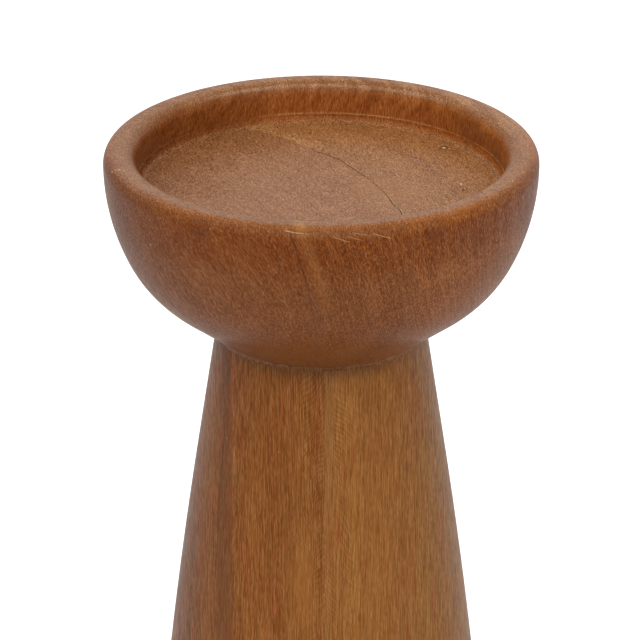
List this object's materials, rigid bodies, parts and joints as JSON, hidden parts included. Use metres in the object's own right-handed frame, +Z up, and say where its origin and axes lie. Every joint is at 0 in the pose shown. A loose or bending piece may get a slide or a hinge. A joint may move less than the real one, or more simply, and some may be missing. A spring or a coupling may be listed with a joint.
{
  "type": "pillar candle stand",
  "caption": "Turned wooden candle stand: a round dished cup with a shallow flat recess for a pillar candle, on a tapered round column with a felt-lined base.",
  "frame": {"origin": "centre of the underside, where the stand rests on a table", "axes": "+Z up along the turning axis; +Y away from the viewer, across the edges of the column's boards; +X to the right"},
  "size_m": [0.1, 0.1, 0.2],
  "materials": {
    "cup_wood": "satin varnish over open-pored reddish brown wood",
    "column_wood": "satin varnish over straight-grained golden brown wood",
    "dark_column_wood": "satin varnish over straight-grained darker brown wood",
    "dowel_wood": "bare pale wood",
    "felt": "matt pressed felt"
  },
  "bodies": {
    "root": {"cup": "cup_wood", "column_board_left_outer": "dark_column_wood", "column_board_left_inner": "column_wood", "column_board_right_inner": "column_wood", "column_board_right_outer": "column_wood", "joint_dowel": "dowel_wood", "felt_pad": "felt"}
  },
  "joints": []
}
